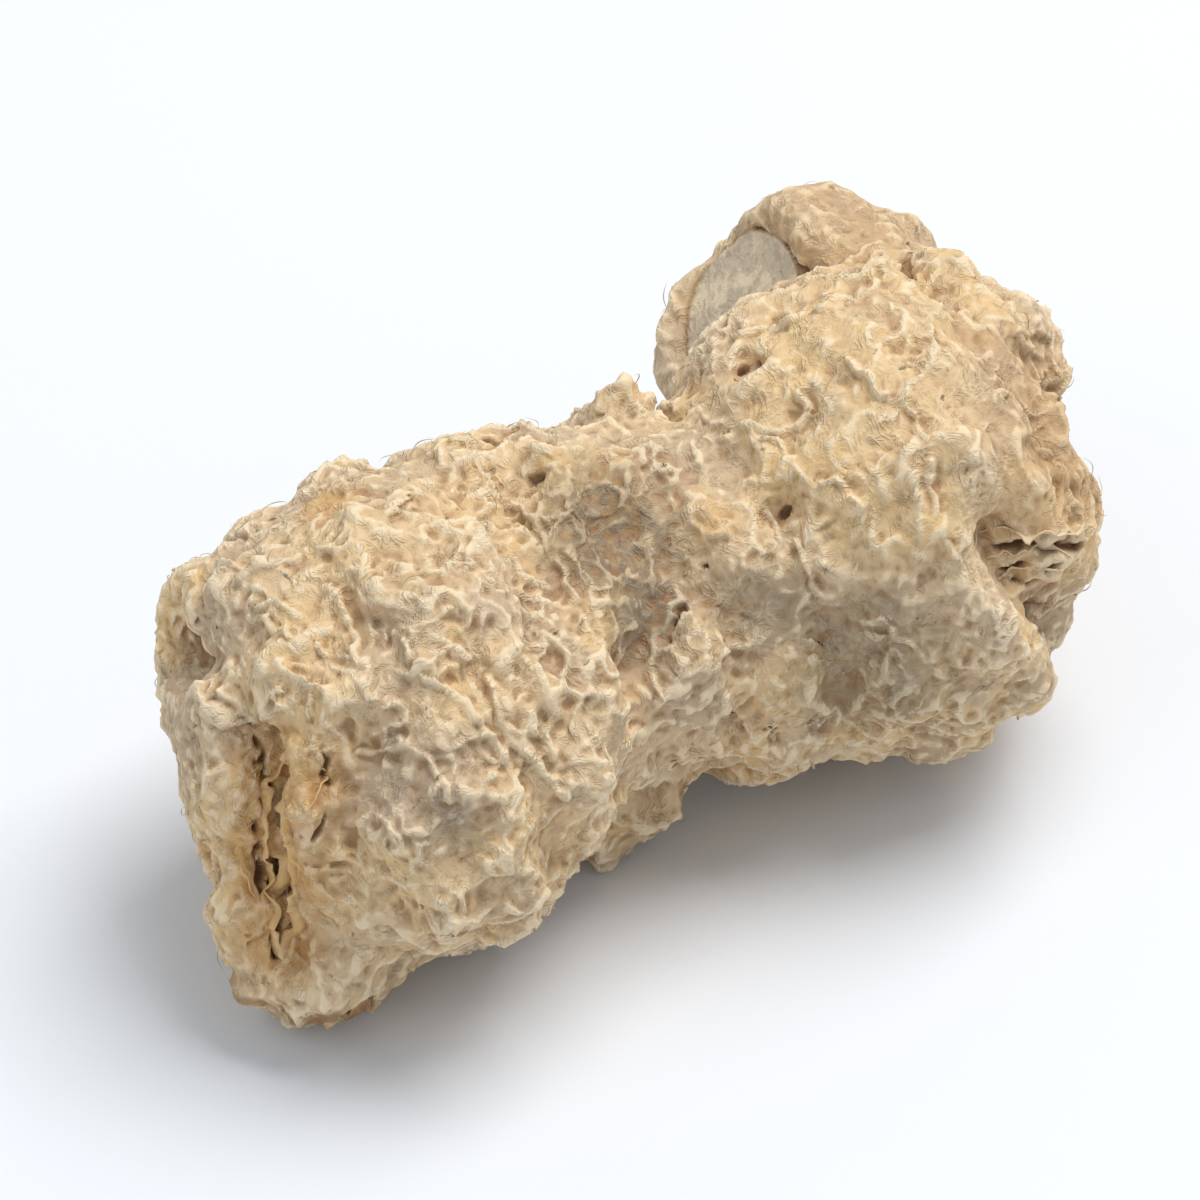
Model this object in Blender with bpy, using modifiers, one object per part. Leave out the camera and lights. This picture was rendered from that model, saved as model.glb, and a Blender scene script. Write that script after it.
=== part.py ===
"""One dried ginger root, a knobbly rhizome lying on a table, as a single solid.

Run it with blender --background --python part.py, or from Blender's text editor.
Units are metres and +Z is up. The rhizome's long axis is X: the near knob, whose end has
shrunk and split, is at -X, and the main knob, with the cut stub of a branch, is at +X.
The origin is under the middle of the root, on the surface that it lies on.

The rhizome grows from overlapping lobes that are fused by a voxel remesh. Its skin is
then raised and sunk along its normals by formulas for lumps, creases, rings and root
scars. Last, a knife plane cuts the branch and the table plane flattens the resting spots.
"""

import math
import random

import bpy
from mathutils import Matrix, Vector, noise

MM = 0.001

# Driving dimensions, in millimetres.
NEAR_KNOB_RADIUS = 9.4
WAIST_RADIUS = 7.1
MAIN_KNOB_RADIUS = 9.8
STUB_RADIUS = 6.5
NEAR_KNOB_X = -11.4
KNOB_SPACING = 21.4
TABLE_LEVEL = 0.5

# How finely the solid is made, in millimetres, steps and triangles.
FUSING_VOXEL = 0.5
FILLET_STEPS = 7
TRIANGLES = 9600

# The dry skin's colour, as linear red, green and blue, and its roughness.
SKIN_COLOUR = (0.56, 0.41, 0.25)
SKIN_ROUGHNESS = 0.92

near_x = NEAR_KNOB_X
main_x = NEAR_KNOB_X + KNOB_SPACING

# Each lobe is an ellipsoid: its name, centre and radii in millimetres.
LOBES = (
    ("near knob", (near_x, -1.1, 9.4), (8.5, 9.4, NEAR_KNOB_RADIUS)),
    ("rim beside the waist", (near_x + 5.2, 1.8, 12.0), (5.0, 5.6, 5.5)),
    ("back shoulder of the end", (near_x - 3.0, 3.8, 11.1), (4.0, 4.2, 4.2)),
    ("bud on the back shoulder", (near_x - 5.4, 5.0, 11.0), (2.0, 1.8, 2.3)),
    ("front lump of the end", (near_x - 1.8, -7.0, 9.0), (4.8, 4.8, 4.9)),
    ("low lump of the end", (near_x - 6.3, -3.4, 6.0), (3.4, 3.4, 3.4)),
    ("foot of the end", (near_x - 5.2, -4.3, 3.6), (3.7, 3.7, 3.7)),
    ("waist", (near_x + 10.2, -1.1, 10.2), (9.5, WAIST_RADIUS, WAIST_RADIUS)),
    ("bridge to the main knob", (main_x - 6.4, -2.1, 9.3), (6.2, 7.5, 7.8)),
    ("lobe under the waist", (near_x + 8.4, -3.9, 3.0), (2.7, 2.6, 2.8)),
    ("main knob", (main_x - 0.2, -2.7, 10.1), (8.0, 9.6, MAIN_KNOB_RADIUS)),
    ("shoulder of the main knob", (main_x + 6.1, -0.9, 14.0), (3.8, 4.1, 4.2)),
    ("cut stub", (main_x + 4.0, 5.9, 10.8), (STUB_RADIUS, STUB_RADIUS, STUB_RADIUS)),
    ("lobe under the stub", (main_x + 2.8, 3.3, 4.9), (6.4, 6.4, 5.3)),
    ("nub above the waist", (main_x - 7.9, 3.1, 15.6), (1.1, 1.1, 1.5)),
)

# Raised and sunk lines: their half width, height and points in millimetres. A negative
# height is a crease, and a crease has a lip on each side, of a share of its depth.
LIP_SHARE = 0.35
LINES = (
    ("rim of the near knob", 1.3, 0.9,
     ((-3.0, 2.9, 16.6), (-3.6, -0.5, 17.1), (-4.2, -3.0, 16.6), (-5.3, -5.7, 14.8),
      (-7.5, -8.3, 13.6), (-8.9, -9.8, 11.5))),
    ("split of the dry end", 1.0, -2.0,
     ((-19.0, -2.5, 13.5), (-19.2, -3.9, 12.0), (-19.5, -4.1, 9.7), (-19.6, -5.0, 7.8),
      (-19.3, -5.7, 5.6))),
    ("valley of the end", 1.3, -1.0,
     ((-16.6, -6.9, 14.0), (-17.9, -7.1, 11.1), (-17.4, -9.3, 9.0))),
    ("crease of the bud", 0.8, -0.9, ((-18.1, 4.9, 13.4), (-18.6, 2.6, 13.0))),
    ("crease of the waist", 0.9, -0.8,
     ((-0.9, -6.2, 15.1), (-2.8, -6.9, 14.0), (-4.5, -7.1, 12.9))),
    ("step of the waist", 0.9, 0.6, ((0.7, -3.9, 16.5), (0.7, -5.5, 15.5), (0.8, -6.5, 14.4))),
    ("flap under the waist", 0.8, 0.8, ((-1.0, -8.0, 7.4), (2.0, -9.0, 6.4), (5.0, -9.6, 5.6))),
    ("ridge below the hole", 0.9, 0.8, ((4.4, -5.1, 16.3), (4.3, -6.9, 15.1), (4.2, -8.2, 13.5))),
    ("first fold of the main knob", 1.1, 0.6,
     ((9.4, -2.7, 19.8), (7.8, -5.6, 18.8), (6.7, -9.3, 15.6))),
    ("second fold of the main knob", 1.1, 0.6,
     ((10.8, -5.5, 19.4), (9.9, -8.5, 17.8), (9.2, -10.6, 15.4))),
    ("papery crease of the main knob", 1.2, -1.6,
     ((10.5, -11.0, 15.0), (11.4, -12.0, 12.6), (13.7, -11.5, 8.2))),
    ("fold in front of the stub", 1.2, 0.7,
     ((6.7, 3.3, 16.3), (10.0, 2.4, 18.3), (14.8, 2.6, 17.0), (16.9, 0.5, 18.1))),
    ("crease on the far end", 1.2, -1.3, ((17.6, -6.0, 13.0), (18.2, -4.4, 9.6), (17.6, -4.6, 6.2))),
    ("crease behind the waist", 1.1, -1.0, ((-3.0, 6.4, 12.6), (0.2, 6.6, 10.0), (0.8, 6.0, 6.6))),
    ("fold behind the near knob", 1.2, 0.7,
     ((-10.0, 7.6, 15.0), (-9.2, 9.0, 11.0), (-9.6, 8.2, 6.8))),
)

# Round marks: their place, radius and height in millimetres. A negative height is a pit.
MARKS = (
    ("nodule above the near knob", (-10.7, 4.6, 16.7), 1.0, 0.9),
    ("first root pit", (-3.8, 2.8, 17.1), 0.8, -0.8),
    ("second root pit", (5.7, 3.3, 15.3), 0.8, -0.8),
    ("third root pit", (6.2, 0.0, 18.0), 0.8, -0.8),
    ("hole above the ridge", (3.9, -5.5, 15.6), 0.9, -1.2),
    ("hollow of the waist", (-1.6, -3.9, 16.4), 2.8, -1.0),
)

# Root scars of the hidden sides: a raised rim round a sunken middle, in millimetres.
SCAR_COUNT = 22
SCAR_SEED = 4
SCAR_SPACING = 4.5
SCAR_RADIUS = 1.2
SCAR_RIM_HEIGHT = 0.45
SCAR_PIT_DEPTH = 0.65

# The relief all over the skin, in millimetres: the lengths of its waves and cells, their
# heights, and the levels that keep its mean at the fused lobes' surface.
LUMP_LENGTH = 5.5
LUMP_HEIGHT = 0.75
WRINKLE_LENGTH = 3.4
WRINKLE_HEIGHT = 0.9
WRINKLE_LEVEL = 0.35
NET_CELL = 2.9
NET_WIDTH = 0.16
NET_HEIGHT = 0.4
NET_LEVEL = 0.25
BEND = 1.2
BEND_LENGTH = 4.0
BEND_SEED = 7
RING_PITCH = 3.6
RING_WARP = 1.3
RING_WARP_LENGTH = 6.0
RING_DEPTH = 0.35
RING_SHARPNESS = 6.0
SHRINKAGE = 0.25

# The knife's cut across the stub, and the sizes of the cutters.
CUT_NORMAL = Vector((-0.79, 0.17, 0.55)).normalized()
CUT_DISTANCE = 4.0
CUT_RADIUS = 7.5
CUT_LENGTH = 7.0
KNOB_SKIN = 0.6
TABLE_SIZE = 80.0


def clear_scene():
    for obj in list(bpy.data.objects):
        bpy.data.objects.remove(obj)


def new_collection(name):
    collection = bpy.data.collections.new(name)
    bpy.context.scene.collection.children.link(collection)
    return collection


def lobe(name):
    """The centre and radii of a named lobe."""
    return next((centre, radii) for label, centre, radii in LOBES if label == name)


def ellipsoid(name, centre, radii):
    """One ellipsoid, with its place and size in millimetres applied to its mesh."""
    bpy.ops.mesh.primitive_uv_sphere_add(segments=40, ring_count=24, radius=1.0)
    obj = bpy.context.active_object
    obj.name = name
    obj.data.transform(Matrix.LocRotScale(Vector(centre) * MM, None, Vector(radii) * MM))
    return obj


def applied(obj, name):
    """A new object with obj's modifiers applied. The old one is removed."""
    graph = bpy.context.evaluated_depsgraph_get()
    mesh = bpy.data.meshes.new_from_object(obj.evaluated_get(graph))
    bpy.data.objects.remove(obj)
    mesh.name = name
    made = bpy.data.objects.new(name, mesh)
    bpy.context.scene.collection.objects.link(made)
    return made


def fused_lobes():
    """All lobes as one closed mesh with rounded valleys between them."""
    lobes = [ellipsoid(*row) for row in LOBES]
    bpy.ops.object.select_all(action="DESELECT")
    for piece in lobes:
        piece.select_set(True)
    bpy.context.view_layer.objects.active = lobes[0]
    bpy.ops.object.join()
    root = bpy.context.active_object
    fuse = root.modifiers.new("fuse", "REMESH")
    fuse.mode = "VOXEL"
    fuse.voxel_size = FUSING_VOXEL * MM
    fillet = root.modifiers.new("fillet", "SMOOTH")
    fillet.factor = 0.5
    fillet.iterations = FILLET_STEPS
    return applied(root, "fused lobes")


def distance_to_line(place, points):
    """The distance from a place to a chain of straight stretches."""
    nearest = math.inf
    for start, end in zip(points, points[1:]):
        stretch = end - start
        along = (place - start).dot(stretch) / stretch.length_squared
        nearest = min(nearest, (place - start - stretch * min(max(along, 0.0), 1.0)).length)
    return nearest


def bell(distance, width):
    """A smooth bump that is 1 at no distance and fades past the width."""
    return math.exp(-((distance / width) ** 2))


def line_relief(place):
    height = 0.0
    for _, width, rise, points in LINES:
        distance = distance_to_line(place, [Vector(point) for point in points])
        height += rise * bell(distance, width)
        if rise < 0:
            height -= LIP_SHARE * rise * bell(distance - 2 * width, width)
    return height


def mark_relief(place):
    return sum(rise * bell((place - Vector(spot)).length, radius) for _, spot, radius, rise in MARKS)


def scar_relief(place, scars):
    height = 0.0
    for spot, radius in scars:
        distance = (place - spot).length
        height += SCAR_RIM_HEIGHT * bell(distance - radius, 0.45 * radius)
        height -= SCAR_PIT_DEPTH * bell(distance, 0.6 * radius)
    return height


def skin_relief(place):
    """The lumps, wrinkles, net of ridges and rings that cover the whole skin."""
    lumps = LUMP_HEIGHT * noise.noise(place / LUMP_LENGTH + Vector((3.1, 0.0, 7.7)))
    bent = place + BEND * noise.noise_vector(place / BEND_LENGTH)
    wrinkles = WRINKLE_HEIGHT * (WRINKLE_LEVEL - abs(noise.noise(bent / WRINKLE_LENGTH)))
    near, far = noise.voronoi(bent / NET_CELL)[0][:2]
    net = NET_HEIGHT * (bell(far - near, NET_WIDTH) - NET_LEVEL)
    wave = (place.x + RING_WARP * noise.noise(place / RING_WARP_LENGTH)) / RING_PITCH
    rings = -RING_DEPTH * abs(math.cos(math.pi * wave)) ** RING_SHARPNESS
    return lumps + wrinkles + net + rings - SHRINKAGE


def scar_places(mesh):
    """Seeded places for root scars, on the back and the underside, clear of one another."""
    chance = random.Random(SCAR_SEED)
    spots = []
    while len(spots) < SCAR_COUNT:
        vertex = mesh.vertices[chance.randrange(len(mesh.vertices))]
        place = vertex.co / MM
        hidden = vertex.normal.y > 0.25 or vertex.normal.z < -0.2
        clear = all((place - spot).length > SCAR_SPACING for spot, _ in spots)
        if hidden and clear and place.z > 2 * TABLE_LEVEL:
            spots.append((place, SCAR_RADIUS * chance.uniform(0.7, 1.2)))
    return spots


def raise_skin(root):
    """Moves each vertex along its normal by the relief's formulas."""
    mesh = root.data
    scars = scar_places(mesh)
    moves = []
    for vertex in mesh.vertices:
        place = vertex.co / MM
        height = skin_relief(place) + line_relief(place) + mark_relief(place)
        height += scar_relief(place, scars)
        moves.append(vertex.normal * height * MM)
    for vertex, move in zip(mesh.vertices, moves):
        vertex.co += move
    soften = root.modifiers.new("soften", "SMOOTH")
    soften.factor = 0.5
    soften.iterations = 1
    thin = root.modifiers.new("thin", "DECIMATE")
    thin.ratio = TRIANGLES / sum(len(face.vertices) - 2 for face in mesh.polygons)
    return applied(root, "skin")


def knife_cutter():
    """What the knife takes off the stub: a thick disc that leaves the main knob's skin."""
    turn = Vector((0, 0, 1)).rotation_difference(CUT_NORMAL).to_euler()
    middle = Vector(lobe("cut stub")[0]) + CUT_NORMAL * (CUT_DISTANCE + 0.5 * CUT_LENGTH)
    bpy.ops.mesh.primitive_cylinder_add(
        vertices=48, radius=CUT_RADIUS * MM, depth=CUT_LENGTH * MM,
        location=middle * MM, rotation=turn)
    disc = bpy.context.active_object
    disc.name = "knife"
    centre, radii = lobe("main knob")
    knob = ellipsoid("kept knob", centre, [radius + KNOB_SKIN for radius in radii])
    keep = disc.modifiers.new("keep the knob", "BOOLEAN")
    keep.operation = "DIFFERENCE"
    keep.solver = "EXACT"
    keep.object = knob
    return disc, knob


def table_cutter():
    """A slab whose upper face is the surface that the root lies on."""
    bpy.ops.mesh.primitive_cube_add(size=1.0)
    slab = bpy.context.active_object
    slab.name = "table"
    size = Vector((TABLE_SIZE, TABLE_SIZE, 0.5 * TABLE_SIZE)) * MM
    middle = Vector((0, 0, TABLE_LEVEL - 0.25 * TABLE_SIZE)) * MM
    slab.data.transform(Matrix.LocRotScale(middle, None, size))
    return slab


def cut(skin, cutters):
    """The skin without what the knife and the table take away."""
    for cutter in cutters:
        slice_off = skin.modifiers.new("cut by the " + cutter.name, "BOOLEAN")
        slice_off.operation = "DIFFERENCE"
        slice_off.solver = "EXACT"
        slice_off.object = cutter
    return applied(skin, "ginger_root")


def store_cutters(cutters):
    collection = new_collection("cutters")
    for cutter in cutters:
        cutter.display_type = "WIRE"
        cutter.hide_render = True
        for old in list(cutter.users_collection):
            old.objects.unlink(cutter)
        collection.objects.link(cutter)


def centre_over_origin(root, cutters):
    """Moves the root so that its box stands on the origin, and the cutters with it."""
    places = [vertex.co for vertex in root.data.vertices]
    low = Vector([min(place[axis] for place in places) for axis in range(3)])
    high = Vector([max(place[axis] for place in places) for axis in range(3)])
    move = Vector((-0.5 * (low.x + high.x), -0.5 * (low.y + high.y), -low.z))
    root.data.transform(Matrix.Translation(move))
    for cutter in cutters:
        cutter.location += move
    print("moved by", [round(value / MM, 2) for value in move], "mm")
    print("size", [round(value / MM, 2) for value in high - low], "mm")


def skin_material():
    material = bpy.data.materials.new("dry ginger skin")
    material.use_nodes = True
    surface = material.node_tree.nodes["Principled BSDF"]
    surface.inputs["Base Color"].default_value = (*SKIN_COLOUR, 1.0)
    surface.inputs["Roughness"].default_value = SKIN_ROUGHNESS
    surface.inputs["Metallic"].default_value = 0.0
    return material


def main():
    clear_scene()
    noise.seed_set(BEND_SEED)
    skin = raise_skin(fused_lobes())
    knife, knob = knife_cutter()
    table = table_cutter()
    root = cut(skin, [knife, table])
    centre_over_origin(root, [knife, knob, table])
    store_cutters([knife, knob, table])
    root.data.materials.append(skin_material())
    collection = new_collection("ginger root")
    bpy.context.scene.collection.objects.unlink(root)
    collection.objects.link(root)
    bpy.context.view_layer.objects.active = root
    root.select_set(True)
    bpy.ops.object.shade_smooth()


main()
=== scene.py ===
# %% [markdown]
# # A dried ginger root
#
# The object is one dried rhizome, about 42 mm long: two knobs joined by a waist, with the
# cut stub of a branch at the back and a dry end that has shrunk and split. Its shape comes
# from the imported solid. This file makes its finish: the crinkled papery skin, the clean
# knife cut, the layers in the split, and the fibres and flakes that a dried root sheds.

import math

import bpy
import numpy as np
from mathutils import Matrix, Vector
from mathutils.bvhtree import BVHTree
from mathutils.noise import noise as noise_value


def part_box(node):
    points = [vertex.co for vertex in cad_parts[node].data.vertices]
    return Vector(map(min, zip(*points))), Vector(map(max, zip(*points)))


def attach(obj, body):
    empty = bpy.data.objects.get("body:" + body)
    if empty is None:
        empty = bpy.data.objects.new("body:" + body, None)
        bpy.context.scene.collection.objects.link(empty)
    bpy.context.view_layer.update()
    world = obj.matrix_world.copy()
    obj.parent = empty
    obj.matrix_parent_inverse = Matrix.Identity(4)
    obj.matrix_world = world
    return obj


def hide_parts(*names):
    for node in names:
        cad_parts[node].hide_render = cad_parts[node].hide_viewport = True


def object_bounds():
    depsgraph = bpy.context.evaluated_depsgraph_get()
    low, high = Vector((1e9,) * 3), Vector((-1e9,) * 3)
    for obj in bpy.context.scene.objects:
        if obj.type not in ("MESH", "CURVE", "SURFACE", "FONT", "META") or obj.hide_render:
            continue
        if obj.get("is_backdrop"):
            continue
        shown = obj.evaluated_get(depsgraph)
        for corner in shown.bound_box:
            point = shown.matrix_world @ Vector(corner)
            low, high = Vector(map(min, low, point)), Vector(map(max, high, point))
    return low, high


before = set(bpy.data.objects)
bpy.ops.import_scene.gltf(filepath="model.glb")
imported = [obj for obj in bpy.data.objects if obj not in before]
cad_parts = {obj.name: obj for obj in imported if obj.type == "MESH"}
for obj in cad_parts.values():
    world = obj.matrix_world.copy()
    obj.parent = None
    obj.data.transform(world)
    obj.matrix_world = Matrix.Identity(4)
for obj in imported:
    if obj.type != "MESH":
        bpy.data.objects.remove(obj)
cad_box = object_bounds()
MM = 0.001
low, high = (Vector(corner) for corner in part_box("ginger_root"))
centre = 0.5 * (low + high)
print("the solid is", [round(side / MM, 1) for side in high - low], "mm")


def added(name, data):
    """A new object in the scene that holds data."""
    made = bpy.data.objects.new(name, data)
    bpy.context.scene.collection.objects.link(made)
    return made

# %% [markdown]
# ## The camera
#
# The picture was taken from above and to the left of the root's long axis, with a long
# lens, so lines hardly converge. A long lens far away does the same. The camera's place
# is worked out from two angles and from how much of the table the picture should show.

# %% The camera
AZIMUTH = math.radians(-35)
ELEVATION = math.radians(42)
DISTANCE = 0.45
SHOWN_WIDTH = 47 * MM
AIM_OFFSET = Vector((-0.6, 0.0, -0.4)) * MM

towards_camera = Vector((
    math.sin(AZIMUTH) * math.cos(ELEVATION),
    -math.cos(AZIMUTH) * math.cos(ELEVATION),
    math.sin(ELEVATION)))
picture_right = Vector((math.cos(AZIMUTH), math.sin(AZIMUTH), 0))
picture_up = towards_camera.cross(picture_right)

lens = bpy.data.cameras.new("camera")
lens.sensor_width = 36
lens.lens = lens.sensor_width * DISTANCE / SHOWN_WIDTH
lens.clip_start = 0.01
camera = added("camera", lens)
camera.location = centre + AIM_OFFSET + towards_camera * DISTANCE
camera.rotation_euler = towards_camera.to_track_quat("Z", "Y").to_euler()
bpy.context.scene.camera = camera
print("the lens is", round(lens.lens), "mm")

# %% [markdown]
# ## Table and light
#
# The root lies on a white table in soft studio light. The brightest light comes from
# behind and from the right, so the knobs' upper sides are lit and soft shadows fall
# towards the lower left. A large area light makes a soft shadow edge, and the world's
# pale grey fills what it leaves dark.

# %% The table
TABLE_SIZE = 4
TABLE_WHITE = (0.815, 0.832, 0.862)

bpy.ops.mesh.primitive_plane_add(size=TABLE_SIZE)
table = bpy.context.active_object
table.name = "table"
table.data.materials.append(bpy.data.materials.new("white table"))
table.data.materials[0].use_nodes = True
table_surface = table.data.materials[0].node_tree.nodes["Principled BSDF"]
table_surface.inputs["Base Color"].default_value = (*TABLE_WHITE, 1)
table_surface.inputs["Roughness"].default_value = 0.6
table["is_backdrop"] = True

# %% The lights
def area_light(name, direction, distance, size, power, colour):
    """A square light that shines at the root from a direction given in the picture."""
    data = bpy.data.lights.new(name, "AREA")
    data.size = size
    data.energy = power
    data.color = colour
    across, up, near = direction
    away = (picture_right * across + picture_up * up + towards_camera * near).normalized()
    light = added(name, data)
    light.location = centre + away * distance
    light.rotation_euler = away.to_track_quat("Z", "Y").to_euler()


area_light("key light", (0.38, 1.0, 0.50), 0.6, 0.40, 3.08, (1.0, 0.985, 0.965))
area_light("fill light", (-0.8, 0.3, 0.9), 0.7, 0.6, 0.70, (0.90, 0.95, 1.0))

world = bpy.data.worlds.new("studio")
bpy.context.scene.world = world
world.use_nodes = True
background = world.node_tree.nodes["Background"]
background.inputs["Color"].default_value = (0.85, 0.92, 1.0, 1)
background.inputs["Strength"].default_value = 0.50
bpy.context.scene.view_settings.view_transform = "Standard"

# %% [markdown]
# ## A fine mesh from the solid
#
# The solid has faces of about 1 mm, too coarse for skin. A voxel remesh gives an even
# mesh all round with no seam, fine enough to carry the crinkles as real geometry, and a
# smoothing pass takes the flat facets away but keeps the lobes and folds. The knife cut
# must stay flat, so its plane is measured on the solid and the fine mesh is pressed back
# onto it.

# %% The cut's plane, measured on the solid
CUT_DIRECTION = Vector((-0.79, 0.17, 0.55)).normalized()
CUT_TOLERANCE = 0.9995

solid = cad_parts["ginger_root"].data
cut_faces = [face for face in solid.polygons if face.normal.dot(CUT_DIRECTION) > CUT_TOLERANCE]
cut_area = sum(face.area for face in cut_faces)
cut_middle = sum((face.center * face.area for face in cut_faces), Vector()) / cut_area
cut_reach = max((face.center - cut_middle).length for face in cut_faces)
print("the cut is", round(cut_area / MM**2), "mm2, round", [round(c / MM, 1) for c in cut_middle])

# %% The fine mesh
SKIN_VOXEL = 0.125 * MM
SKIN_SMOOTHING = 22


def modified(obj, name):
    """A plain object with obj's modifiers applied. The old one is removed."""
    graph = bpy.context.evaluated_depsgraph_get()
    mesh = bpy.data.meshes.new_from_object(obj.evaluated_get(graph))
    bpy.data.objects.remove(obj)
    mesh.name = name
    return added(name, mesh)


def triangles(obj):
    return sum(len(face.vertices) - 2 for face in obj.data.polygons)


skin = added("skin", solid.copy())
skin.data.materials.clear()
weld = skin.modifiers.new("weld", "WELD")
weld.merge_threshold = 0.001 * MM
remesh = skin.modifiers.new("remesh", "REMESH")
remesh.mode = "VOXEL"
remesh.voxel_size = SKIN_VOXEL
smooth = skin.modifiers.new("smooth", "SMOOTH")
smooth.factor = 0.5
smooth.iterations = SKIN_SMOOTHING
skin = modified(skin, "ginger_skin")
print("the fine mesh has", triangles(skin), "triangles")

# %% The cut pressed flat: how far off in millimetres, and how far turned, its points may be
CUT_SEARCH_DEPTH = 0.30
CUT_SEARCH_MARGIN = 0.6
CUT_SEARCH_FACING = 0.75


def places(mesh):
    co = np.empty(len(mesh.vertices) * 3)
    mesh.vertices.foreach_get("co", co)
    return co.reshape(-1, 3)


def normals(mesh):
    no = np.empty(len(mesh.vertices) * 3)
    mesh.vertex_normals.foreach_get("vector", no)
    return no.reshape(-1, 3)


def distance(points, place):
    return np.linalg.norm(points - np.array(place), axis=1)


def step_between(values, start, end):
    """0 before start, 1 past end, and a smooth rise between them."""
    share = np.clip((values - start) / (end - start), 0, 1)
    return share * share * (3 - 2 * share)


def line_distance(points, chain):
    """How far each point is from a chain of straight stretches."""
    nearest = np.full(len(points), np.inf)
    for start, end in zip(chain, chain[1:]):
        start, end = np.array(start), np.array(end)
        stretch = end - start
        along = np.clip((points - start) @ stretch / (stretch @ stretch), 0, 1)
        off_line = points - start - along[:, None] * stretch
        nearest = np.minimum(nearest, np.linalg.norm(off_line, axis=1))
    return nearest


def store(mesh, name, values):
    mesh.attributes.new(name, "FLOAT", "POINT").data.foreach_set("value", values.astype(np.float32))


co = places(skin.data)
cut_normal = np.array(CUT_DIRECTION)
off_plane = (co - np.array(cut_middle)) @ cut_normal
facing = normals(skin.data) @ cut_normal
on_plane = (np.abs(off_plane) < CUT_SEARCH_DEPTH * MM) & (facing > CUT_SEARCH_FACING)
on_plane &= distance(co, cut_middle) < cut_reach + CUT_SEARCH_MARGIN * MM
co[on_plane] -= off_plane[on_plane, None] * cut_normal
print("pressed flat:", int(on_plane.sum()), "points")

# %% [markdown]
# ## From the photograph to the skin
#
# Some lines and spots can be seen best in the photograph, so they are noted in its pixels.
# The photograph shows about 6.2 pixels a millimetre, and its lens is long, so a pixel is a
# straight line along the view's direction. Where that line meets the skin is the place.

# %% Photograph pixels to places
PHOTO_PIXELS_A_MM = 6.2
PHOTO_ORIGIN = (150, 751)
PHOTO_ORIGIN_PLACE = Vector((-1.05, -2.76, -0.5)) * MM
SIGHT_START = 200 * MM
bare_surface = BVHTree.FromObject(skin, bpy.context.evaluated_depsgraph_get())


def sight_line(u, v):
    """A place in front of the root on the line of sight of one photograph pixel."""
    across, up = u - PHOTO_ORIGIN[0], PHOTO_ORIGIN[1] - v
    aside = (picture_right * across + picture_up * up) / PHOTO_PIXELS_A_MM
    return PHOTO_ORIGIN_PLACE + aside * MM + towards_camera * SIGHT_START


def on_skin(pixels):
    """The places in millimetres where the pixels' lines of sight meet the skin."""
    hits = [bare_surface.ray_cast(sight_line(*pixel), -towards_camera)[0] for pixel in pixels]
    return [tuple(hit / MM) for hit in hits if hit]

# %% [markdown]
# ## The cut's lip
#
# The knife went through wet flesh. As the stub dried, the skin round the cut shrank less
# than the flesh and rolled over its edge. So the flat cut is smaller than the knife's
# plane, and the skin round it swells into a soft lip.

# %% The lip round the cut, in millimetres but for the pixel
CUT_CENTRE_PIXEL = (178, 624)
CUT_RADIUS = 3.1
CUT_MARGIN = 0.25
LIP_WIDTH = 1.2
LIP_HEIGHT = 0.50
LIP_SPREAD = 0.35
LIP_START = 0.4
LIP_REACH = 3.0
STUB_DEPTH = 4
STUB_REACH = 9
KNOB_CENTRE = np.array((10.45, -2.36, 9.6))
KNOB_RADII = np.array((8.6, 10.2, 10.4))
KNOB_MARGIN = 0.12

sight = sight_line(*CUT_CENTRE_PIXEL)
towards_plane = (sight - cut_middle).dot(CUT_DIRECTION) / towards_camera.dot(CUT_DIRECTION)
disc_centre = np.array(sight - towards_camera * towards_plane)
off_plane = (co - np.array(cut_middle)) @ cut_normal
in_plane = co - disc_centre
in_plane -= (in_plane @ cut_normal)[:, None] * cut_normal
from_disc = np.linalg.norm(in_plane, axis=1) / MM
knob_radii_away = np.linalg.norm((co / MM - KNOB_CENTRE) / KNOB_RADII, axis=1)
off_knob = step_between(knob_radii_away, 1.0, 1 + KNOB_MARGIN)
from_stub = distance(co, cut_middle - CUT_DIRECTION * STUB_DEPTH * MM) / MM
beside = off_knob * (1 - step_between(-off_plane / MM, LIP_START, LIP_REACH)) * (from_stub < STUB_REACH)
lip = beside * step_between(from_disc, CUT_RADIUS, CUT_RADIUS + LIP_WIDTH)
co += (LIP_HEIGHT * MM * lip)[:, None] * (cut_normal + LIP_SPREAD * normals(skin.data))
skin.data.vertices.foreach_set("co", co.ravel())
store(skin.data, "lip", lip)
cut = on_plane & (from_disc < CUT_RADIUS + CUT_MARGIN)
store(skin.data, "cut", cut.astype(float))
print("on the cut:", int(cut.sum()), "of", len(co), "points")
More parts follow.
